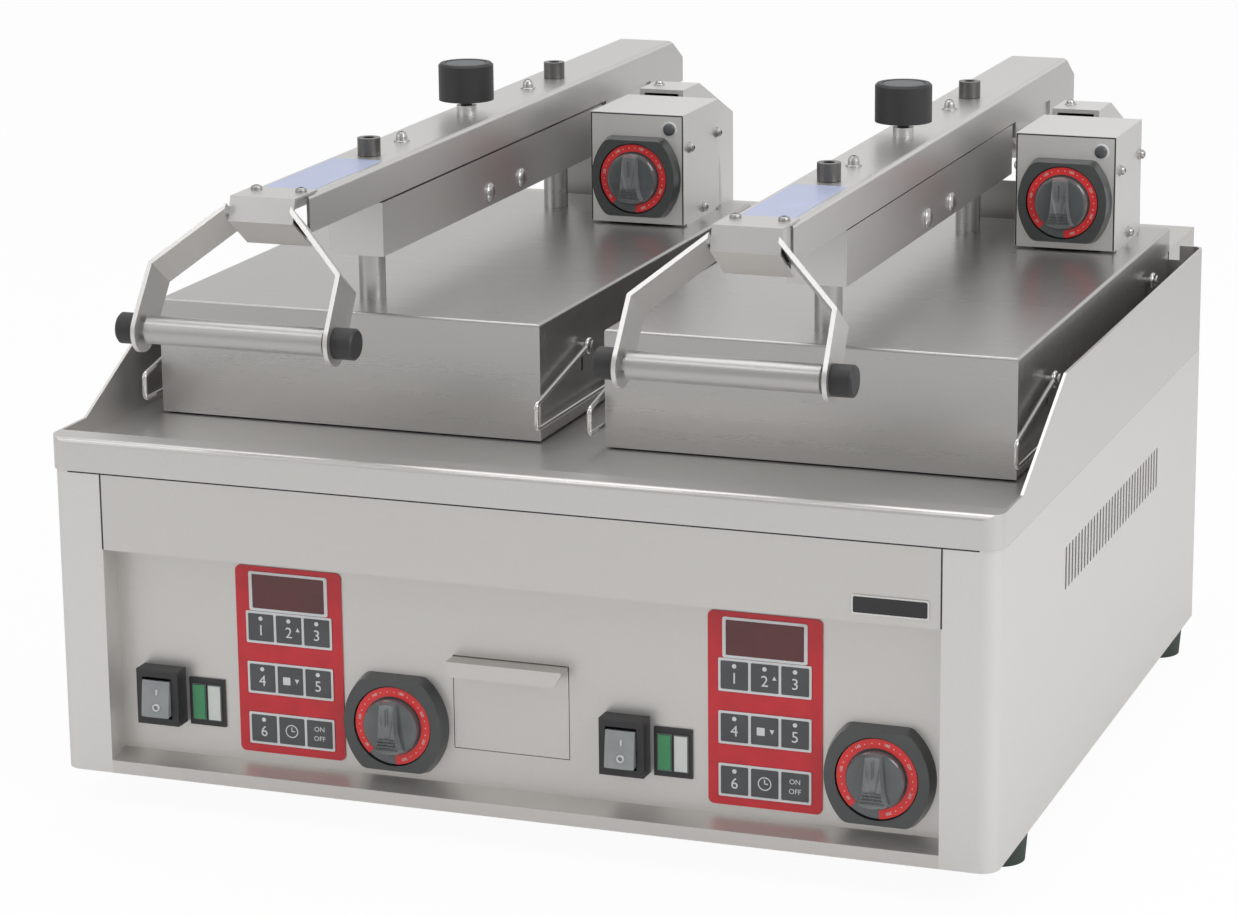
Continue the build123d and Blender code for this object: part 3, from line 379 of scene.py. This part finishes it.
# Mesh helpers
def new_piece(name, form, body, material, smooth=False, bevel=0.0, segments=2):
    mesh = bpy.data.meshes.new(name)
    bmesh.ops.recalc_face_normals(form, faces=form.faces)
    form.to_mesh(mesh)
    form.free()
    obj = bpy.data.objects.new(name, mesh)
    bpy.context.collection.objects.link(obj)
    mesh.materials.append(material)
    for face in mesh.polygons:
        face.use_smooth = smooth
    if bevel:
        mod = obj.modifiers.new("edge", "BEVEL")
        mod.width = bevel / 1000
        mod.segments = segments
        mod.limit_method = "ANGLE"
        mod.angle_limit = math.radians(35)
    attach(obj, body)
    return obj


def lathe(form, at, axis, profile, steps=40):
    """Adds a turned shape: profile is (radius, along) in millimetres about an axis."""
    direction = Vector(axis).normalized()
    turn = direction.to_track_quat("Z", "Y").to_matrix()
    rings = []
    for radius, along in profile:
        if radius <= 0:
            rings.append([form.verts.new(at + direction * along / 1000)])
            continue
        ring = []
        for i in range(steps):
            a = 2 * math.pi * i / steps
            local = Vector((math.cos(a) * radius, math.sin(a) * radius, along)) / 1000
            ring.append(form.verts.new(at + turn @ local))
        rings.append(ring)
    for low, high in zip(rings, rings[1:]):
        for i in range(steps):
            j = (i + 1) % steps
            if len(low) == 1 and len(high) == 1:
                continue
            if len(low) == 1:
                form.faces.new((low[0], high[i], high[j]))
            elif len(high) == 1:
                form.faces.new((low[i], low[j], high[0]))
            else:
                form.faces.new((low[i], low[j], high[j], high[i]))
    return form


def rounded(cx, cz, w, h, r, steps=5):
    """Outline of a rectangle with rounded corners in a plane, as (u, v) pairs."""
    points = []
    for sx, sz, start in ((1, 1, 0), (-1, 1, 90), (-1, -1, 180), (1, -1, 270)):
        for i in range(steps + 1):
            a = math.radians(start + 90 * i / steps)
            u = cx + sx * (w / 2 - r) + r * math.cos(a)
            v = cz + sz * (h / 2 - r) + r * math.sin(a)
            points.append((u, v))
    return points


# Shared small shapes
paint = {
    "pale": plastic("pale print", (0.62, 0.63, 0.64), 0.45, 1800, 0.04, wear=0.05),
    "key": plastic("dark key", (0.062, 0.064, 0.068), 0.42, 1600, 0.12, coat=0.15, wear=0.15),
    "display": plastic("display window", (0.085, 0.004, 0.006), 0.16, 1200, 0.02, coat=0.5, wear=0.2),
    "scale": plastic("scale ring", (0.72, 0.022, 0.022), 0.36, 1500, 0.06, coat=0.2, wear=0.10),
    "label": plastic("plain label", (0.37, 0.41, 0.57), 0.40, 1500, 0.05, coat=0.1, wear=0.05),
    # Dark seams, also used for a painted shadow line under the worktop's skirt.
    "seam_and_shadow": plastic("dark seam and shadow line", (0.02, 0.02, 0.02), 0.7, 900, 0.1),
    "knob": plastic("smoked knob", (0.085, 0.095, 0.098), 0.16, 1800, 0.04, coat=0.7, wear=0.18),
    # The grip is the knob's smoked plastic painted lighter: a painted highlight on the grip bar.
    "grip": plastic("smoked grip painted lighter", (0.165, 0.178, 0.182), 0.20, 1800, 0.04, coat=0.6, wear=0.18),
    "disc": plastic("grey disc", (0.10, 0.105, 0.11), 0.5, 1200, 0.15),
    "boot": plastic("clear boot", (0.235, 0.25, 0.255), 0.14, 1500, 0.04, coat=0.8, wear=0.15),
}
screw_steel = steel("screw steel", 0.48, 0.24, "z", clouds=0.03)
dull_steel = steel("dull screw", 0.36, 0.40, "z", clouds=0.03)


def join_rows(form, low, high):
    """Closes a solid between two rows of vertices: two end faces and the walls."""
    form.faces.new(low)
    form.faces.new(high[::-1])
    for i in range(len(low)):
        j = (i + 1) % len(low)
        form.faces.new((low[i], low[j], high[j], high[i]))


def front_slab(form, outline, front, back):
    """Adds a slab facing the front; its outline is in X and Z."""
    low = [form.verts.new(place(x, back, z)) for x, z in outline]
    high = [form.verts.new(place(x, front, z)) for x, z in outline]
    join_rows(form, low, high)


def front_ring(form, outer, inner, front, back):
    """Adds a frame facing the front between two outlines of equal length."""
    count = len(outer)
    rows = []
    for outline, y in ((outer, back), (outer, front), (inner, front), (inner, back)):
        rows.append([form.verts.new(place(x, y, z)) for x, z in outline])
    for a in range(4):
        b = (a + 1) % 4
        for i in range(count):
            j = (i + 1) % count
            form.faces.new((rows[a][i], rows[a][j], rows[b][j], rows[b][i]))


def add_words(form, words, height, at, turn=0.0, thick=0.05):
    """Adds generic characters that face the front, centred on a point."""
    curve = bpy.data.curves.new("characters", "FONT")
    curve.body = words
    curve.size = height / 1000 / 0.70
    curve.align_x = "CENTER"
    curve.align_y = "CENTER"
    curve.extrude = thick / 1000
    curve.resolution_u = 3
    holder = bpy.data.objects.new("characters", curve)
    bpy.context.collection.objects.link(holder)
    ready = holder.evaluated_get(bpy.context.evaluated_depsgraph_get())
    mesh = bpy.data.meshes.new_from_object(ready)
    spin = Matrix.Rotation(turn, 4, "Y")
    mesh.transform(Matrix.Translation(at) @ spin @ Matrix.Rotation(math.radians(90), 4, "X"))
    form.from_mesh(mesh)
    bpy.data.objects.remove(holder)
    bpy.data.curves.remove(curve)
    bpy.data.meshes.remove(mesh)


def disc_outline(x, z, radius, steps=28):
    angles = [2 * math.pi * i / steps for i in range(steps)]
    return [(x + radius * math.cos(a), z + radius * math.sin(a)) for a in angles]


def screws(name, spots, axis, radius, height, body, material=None, washer=0.0):
    """Dome-headed screws with a hexagon socket, all on one body."""
    form = bmesh.new()
    out = Vector(axis)
    for spot in spots:
        at = place(*spot)
        base = 0.0
        if washer:
            lathe(form, at, out, [(0, 0), (washer, 0), (washer, 0.8), (washer - 0.4, 1.1), (0, 1.1)], 28)
            base = 1.0
        rim = [(0, base), (radius, base), (radius, base + height * 0.45)]
        rim += [(radius * 0.86, base + height * 0.78)]
        rim += [(radius * 0.55, base + height), (radius * 0.42, base + height)]
        lathe(form, at, out, rim, 28)
        turn = out.to_track_quat("Z", "Y").to_matrix()
        top, low = [], []
        for i in range(6):
            a = math.pi / 3 * i
            spoke = Vector((math.cos(a), math.sin(a), 0)) * radius * 0.40
            for row, depth in ((top, base + height), (low, base + height * 0.35)):
                row.append(form.verts.new(at + turn @ (spoke + Vector((0, 0, depth))) / 1000))
        form.faces.new(low)
        for i in range(6):
            j = (i + 1) % 6
            form.faces.new((top[i], top[j], low[j], low[i]))
    return new_piece(name, form, body, material or screw_steel)


def domes(name, spots, axis, radius, height, body):
    """Plain round-headed rivets, all on one body."""
    form = bmesh.new()
    for spot in spots:
        rim = [(0, 0), (radius, 0), (radius, height * 0.15), (radius * 0.94, height * 0.38)]
        rim += [(radius * 0.78, height * 0.68), (radius * 0.5, height * 0.91), (0, height)]
        lathe(form, place(*spot), Vector(axis), rim, 32)
    return new_piece(name, form, body, screw_steel, smooth=True)


# Keypads
KEYPAD_TOP = 151.5
KEY_FRONT = 18.5
FRAME_BACK = 19.2
ROW_DROPS = (31.3, 66.9, 102.6)
ROW_WIDTH, ROW_TALL = 62.9, 22.4
KEY_WIDTH, KEY_TALL, KEY_PITCH = 18.6, 19.0, 20.5


def keypad(name, cx):
    frames = bmesh.new()
    window = (52.7, 23.8)
    cz = KEYPAD_TOP - 5.4 - window[1] / 2
    window_frame = rounded(cx, cz, window[0] + 4.6, window[1] + 3.6, 1.6)
    front_ring(frames, window_frame, rounded(cx, cz, *window, 0.8), KEY_FRONT, FRAME_BACK)
    keys = bmesh.new()
    marks = bmesh.new()
    words = (("1", "2", "3"), ("4", "", "5"), ("6", "", ""))
    for row, drop in enumerate(ROW_DROPS):
        z = KEYPAD_TOP - drop - ROW_TALL / 2
        front_slab(frames, rounded(cx, z, ROW_WIDTH, ROW_TALL, 1.0), KEY_FRONT, FRAME_BACK)
        for column in range(3):
            x = cx + (column - 1) * KEY_PITCH
            front_slab(keys, rounded(x, z, KEY_WIDTH, KEY_TALL, 0.8), KEY_FRONT - 0.35, KEY_FRONT + 0.2)
            face = KEY_FRONT - 0.38
            print_span = (face - 0.05, face + 0.1)
            word = words[row][column]
            if word:
                add_words(marks, word, 7.4, place(x, face, z - 2.2))
                front_slab(marks, disc_outline(x, z + 6.3, 1.5, 16), face - 0.15, face + 0.1)
            if (row, column) == (0, 1):
                arrow = [(x + 5.2, z - 0.6), (x + 8.0, z - 0.6), (x + 6.6, z + 2.2)]
                front_slab(marks, arrow, *print_span)
            if (row, column) == (1, 1):
                front_slab(marks, rounded(x - 2.6, z - 0.4, 5.4, 5.4, 0.6), *print_span)
                arrow = [(x + 3.4, z + 1.4), (x + 6.6, z + 1.4), (x + 5.0, z - 1.8)]
                front_slab(marks, arrow, *print_span)
            if (row, column) == (2, 1):
                front_ring(marks, disc_outline(x, z, 4.6), disc_outline(x, z, 3.9), *print_span)
                front_slab(marks, rounded(x, z + 1.3, 0.8, 3.2, 0.3), *print_span)
                front_slab(marks, rounded(x + 1.0, z, 2.6, 0.8, 0.3), *print_span)
            if (row, column) == (2, 2):
                add_words(marks, "ON", 3.4, place(x, face, z + 3.4))
                add_words(marks, "OFF", 3.4, place(x, face, z - 3.2))
    glass = bmesh.new()
    front_slab(glass, rounded(cx, cz, window[0] - 0.3, window[1] - 0.3, 0.8), 18.95, 19.45)
    new_piece(name + "_frames", frames, "base", paint["pale"])
    new_piece(name + "_keys", keys, "base", paint["key"], bevel=0.2)
    new_piece(name + "_marks", marks, "base", paint["pale"])
    new_piece(name + "_display", glass, "base", paint["display"])


# Thermostat dials
SCALE_INNER = 20.6
SCALE_START, SCALE_STOP = -140, 176
MARK_START, MARK_STEP, MARK_COUNT = -128, 12, 25


def ring_arc(form, cx, cz, inner, outer, start, stop, front, back, steps=56):
    """Adds a flat band that runs part of the way round, angles clockwise from the top."""
    corners = ((outer, back), (outer, front), (inner, front), (inner, back))
    rows = [[], [], [], []]
    for i in range(steps + 1):
        a = math.radians(start + (stop - start) * i / steps)
        for row, (radius, y) in zip(rows, corners):
            x, z = cx + radius * math.sin(a), cz + radius * math.cos(a)
            row.append(form.verts.new(place(x, y, z)))
    for a in range(4):
        b = (a + 1) % 4
        for i in range(steps):
            form.faces.new((rows[a][i], rows[a][i + 1], rows[b][i + 1], rows[b][i]))
    for i in (0, steps):
        form.faces.new([rows[a][i] for a in range(4)])


def dial(name, cx, cz, wall, skirt_radius, body, node):
    face = wall - 10.0 + 1.6
    base = bmesh.new()
    lathe(base, place(cx, face, cz), (0, -1, 0),
          [(0, -2.5), (skirt_radius - 0.2, -2.5), (skirt_radius, -2.2), (skirt_radius, -0.3),
           (skirt_radius - 0.3, 0), (20.2, 0), (19.9, -0.6), (18, -0.6), (0, -0.6)], 72)
    skirt = new_piece(name + "_skirt", base, body, MATERIALS["dial_plastic"])
    band = bmesh.new()
    ring_arc(band, cx, cz, SCALE_INNER, skirt_radius - 0.1, SCALE_START, SCALE_STOP,
             face - 0.35, face + 0.1)
    new_piece(name + "_scale", band, body, paint["scale"])
    marks = bmesh.new()
    middle = (SCALE_INNER + skirt_radius) / 2
    for i in range(MARK_COUNT):
        a = math.radians(MARK_START + MARK_STEP * i)
        if i % 4 == 0:
            at = place(cx + middle * math.sin(a), face - 0.42, cz + middle * math.cos(a))
            add_words(marks, str(60 + 40 * (i // 4)), 1.9, at, turn=a)
        else:
            spot = disc_outline(cx + middle * math.sin(a), cz + middle * math.cos(a), 0.38, 10)
            front_slab(marks, spot, face - 0.45, face - 0.2)
    new_piece(name + "_marks", marks, body, paint["pale"])
    cap = bmesh.new()
    lathe(cap, place(cx, face, cz), (0, -1, 0),
          [(0, -0.5), (19.6, -0.5), (19.6, 3.6), (19.3, 4.9), (18.6, 5.6), (17.4, 6.0), (0, 6.0)], 72)
    new_piece(name + "_knob", cap, body, paint["knob"])
    grip = bmesh.new()
    half = [(5.6, 18.2), (6.0, 6.0), (6.5, -2.0), (7.4, -8.0), (8.8, -12.5), (10.4, -15.6)]
    foot = [(-7.0, -17.4), (0, -18.4), (7.0, -17.4)]
    outline = [(-u, v) for u, v in half] + foot + half[::-1] + [(0, 19.0)]
    low = [grip.verts.new(place(cx + u, face - 5.5, cz + v)) for u, v in outline]
    high = []
    for u, v in outline:
        crown = face - 12.6 + 0.012 * v * v * 0.5
        high.append(grip.verts.new(place(cx + u * 0.90, crown, cz + v * 0.93)))
    join_rows(grip, low, high)
    bmesh.ops.triangulate(grip, faces=[f for f in grip.faces if len(f.verts) > 4])
    new_piece(name + "_grip", grip, body, paint["grip"], bevel=0.7, segments=3)
    ribs = bmesh.new()
    for v in (-13.4, -11.0, -8.8, -6.6):
        width = 11.0 + max(0.0, -7.0 - v) * 0.9
        front_slab(ribs, rounded(cx, cz + v, width, 0.7, 0.3, 3), face - 12.9, face - 12.0)
    front_slab(ribs, rounded(cx, cz + 9.0, 0.8, 12.0, 0.3, 3), face - 12.9, face - 12.0)
    new_piece(name + "_ribs", ribs, body, paint["knob"])
    stem = bmesh.new()
    lathe(stem, place(cx, face, cz), (0, 1, 0), [(0, 0.5), (3.0, 0.5), (3.0, 10.0), (0, 10.0)], 24)
    new_piece(name + "_stem", stem, body, MATERIALS["dial_plastic"])
    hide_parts(node)


# Switches and lamps
def rocker(name, cx, body, node):
    form = bmesh.new()
    half_w, half_h = 10.2, 12.7
    rows, columns = 9, 6
    grid = []
    for i in range(rows + 1):
        v = -1 + 2 * i / rows
        line = []
        for j in range(columns + 1):
            u = -1 + 2 * j / columns
            swell = 1.0 - 0.35 * abs(u) ** 4 - 0.25 * abs(v) ** 6
            depth = 2.2 + 1.5 * swell - 1.6 * v
            line.append(form.verts.new(place(cx + u * half_w, 6.0 - depth, SWITCH_Z + v * half_h)))
        grid.append(line)
    back = []
    for i in range(rows + 1):
        z = SWITCH_Z + (-1 + 2 * i / rows) * half_h * 0.9
        line = []
        for j in range(columns + 1):
            line.append(form.verts.new(place(cx + (-1 + 2 * j / columns) * half_w, 12.0, z)))
        back.append(line)
    for i in range(rows):
        for j in range(columns):
            form.faces.new((grid[i][j], grid[i][j + 1], grid[i + 1][j + 1], grid[i + 1][j]))
            form.faces.new((back[i][j], back[i + 1][j], back[i + 1][j + 1], back[i][j + 1]))
    for i in range(rows):
        for j in (0, columns):
            form.faces.new((grid[i][j], grid[i + 1][j], back[i + 1][j], back[i][j]))
    for j in range(columns):
        for i in (0, rows):
            form.faces.new((grid[i][j], grid[i][j + 1], back[i][j + 1], back[i][j]))
    boot = new_piece(name, form, body, paint["boot"], bevel=0.5, segments=3)
    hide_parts(node)
    marks = bmesh.new()
    front_slab(marks, rounded(cx + 1.5, 60.6, 0.9, 4.0, 0.4, 3), 1.9, 3.4)
    front_ring(marks, disc_outline(cx + 1.5, 50.2, 2.5), disc_outline(cx + 1.5, 50.2, 1.7), 0.3, 2.2)
    new_piece(name + "_marks", marks, body, paint["pale"])


for index, (side, lid) in enumerate(LIDS):
    shift = index * GROUP_PITCH
    low_name, high_name = "lower_dial_" + side, "upper_dial_" + side
    keypad("keypad_" + side, KEYPAD_X + shift)
    dial(low_name, DIAL_X + shift, DIAL_Z, PANEL_Y, 27.0, low_name, "dial_lower_" + side)
    dial(high_name, lid + BOX_DIAL_X, BOX_DIAL_Z, BOX_Y, 26.0, high_name, "dial_upper_" + side)
    rocker("boot_" + side, SWITCH_X + shift, "switch_" + side, "rocker_" + side)
    rims = bmesh.new()
    for offset in (-LENS_OFFSET, LENS_OFFSET):
        cx = PILOT_X + shift + offset
        front_ring(rims, rounded(cx, PILOT_Z, LENS_WIDTH + 1.6, LENS_TALL + 1.6, 0.8),
                   rounded(cx, PILOT_Z, LENS_WIDTH + 0.1, LENS_TALL + 0.1, 0.3), 17.7, 18.6)
    new_piece("lens_rims_" + side, rims, "base", paint["disc"])

# Blank plate on the fascia
plate_frame = bmesh.new()
outer = rounded(259.1, 170.2, 51.0, 12.8, 1.8)
inner = rounded(259.1, 170.2, 48.6, 10.6, 1.2)
front_ring(plate_frame, outer, inner, 0.1, 1.1)
new_piece("blank_plate_frame", plate_frame, "base", MATERIALS["chrome_wire"])
plate_face = bmesh.new()
front_slab(plate_face, inner, 0.4, 1.1)
new_piece("blank_plate", plate_face, "base", MATERIALS["black_plastic"])

# Dark seams where the fascia meets the posts, and a painted shadow line under the worktop's skirt where
# it ends
seams_and_skirt_shadow = bmesh.new()
for x in (-292.0, 292.0):
    front_slab(seams_and_skirt_shadow, rounded(x, 185.2, 1.0, 53.0, 0.3, 2), 0.8, 1.3)
# A painted shadow line under the worktop's skirt, across the front and along both sides.
front_slab(seams_and_skirt_shadow, rounded(0.0, 211.4, 632.0, 1.1, 0.3, 2), 0.7, 1.3)
for x in (-328.9, 328.9):
    front_slab(seams_and_skirt_shadow, rounded(x, 211.4, 0.7, 1.1, 0.3, 2), 14.0, 586.0)
new_piece("seams_and_skirt_shadow", seams_and_skirt_shadow, "base", paint["seam_and_shadow"])

# Arms and lids
for side, xc in LIDS:
    arm, lid, knob = "arm_" + side, "lid_" + side, "knob_" + side
    label = bmesh.new()
    label_outline = rounded(0, 98.5, 36.0, 113.0, 1.5)
    low = [label.verts.new(place(xc + u, v, ARM_TOP)) for u, v in label_outline]
    high = [label.verts.new(place(xc + u, v, ARM_TOP + 0.25)) for u, v in label_outline]
    join_rows(label, low, high)
    new_piece("plain_label_" + side, label, arm, paint["label"])
    screws("nose_screws_" + side, [(xc - 16, 27, 406.5), (xc + 16, 27, 406.5)], (0, 0, 1), 3.8, 2.8,
           arm, material=dull_steel)
    screws("arm_screws_" + side, [(xc, y, ARM_TOP) for y in (230, 472)], (0, 0, 1), 4.0, 6.0,
           arm, washer=5.6)
    domes("beam_rivets_" + side, [(xc + BEAM_SIDE, y, 350) for y in (341, 403)], (1, 0, 0), 7.2, 3.4, lid)
    right = xc + BOX_RIGHT
    screws("box_screws_right_" + side, [(right, 486, 364), (right, 550, 365), (right, 517, 313)],
           (1, 0, 0), 3.4, 3.2, lid, washer=4.2)
    screws("box_screws_left_" + side, [(xc + BOX_LEFT, 486, 364)], (-1, 0, 0), 3.4, 3.2, lid, washer=4.2)
    screws("tower_screw_" + side, [(xc + 58, 606, 390)], (0, 0, 1), 3.2, 2.6, "base", washer=4.4)
    screen = bmesh.new()
    front_slab(screen, [(xc - 23, 289.8), (xc + 49, 289.8), (xc + 49, 350), (xc + 24.5, 350),
                        (xc + 24.5, 330), (xc - 23, 330)], 600.0, 601.5)
    new_piece("spring_screen_" + side, screen, "base", MATERIALS["steel_inner"])
    disc = bmesh.new()
    lathe(disc, place(xc, KNOB_Y, KNOB_DISC_Z), (0, 0, 1),
          [(0, 0), (14.8, 0), (14.8, 0.5), (14.3, 0.8), (13.2, 0.62), (0, 0.62)], 48)
    new_piece("knob_disc_" + side, disc, knob, paint["disc"])
    ring = bmesh.new()
    lathe(ring, place(xc + LAMP_X, BOX_Y, LAMP_Z), (0, -1, 0),
          [(4.6, 0), (5.9, 0), (5.9, 0.5), (5.5, 0.8), (4.6, 0.8)], 36)
    new_piece("lamp_ring_" + side, ring, lid, paint["pale"])
    lamp_cap = bmesh.new()
    lathe(lamp_cap, place(xc + LAMP_X, BOX_Y - 1.5, LAMP_Z), (0, -1, 0),
          [(0, -1.4), (4.58, -1.4), (4.58, 0.2), (4.1, 0.9), (2.8, 1.5), (0, 1.8)], 36)
    new_piece("lamp_cap_" + side, lamp_cap, lid, paint["key"], smooth=True)
    seams = bmesh.new()
    for u, w, z, h in ((50.7, 1.0, 348.0, 82.6), (123.3, 1.0, 348.0, 82.6), (87.0, 73.0, 389.2, 0.9)):
        front_slab(seams, rounded(xc + u, z, w, h, 0.3, 2), BOX_Y - 0.1, BOX_Y + 0.4)
    new_piece("box_seams_" + side, seams, lid, paint["seam_and_shadow"])
    block = bmesh.new()
    profile = [(1.2, 391.2), (21.5, 377.2), (21.5, 383.0), (13.0, 389.2), (5.0, 392.0)]
    low = [block.verts.new(place(xc - 20.5, y, z)) for y, z in profile]
    high = [block.verts.new(place(xc + 22.3, y, z)) for y, z in profile]
    join_rows(block, low, high)
    new_piece("nose_block_" + side, block, arm, MATERIALS["black_plastic"],
              bevel=0.4)
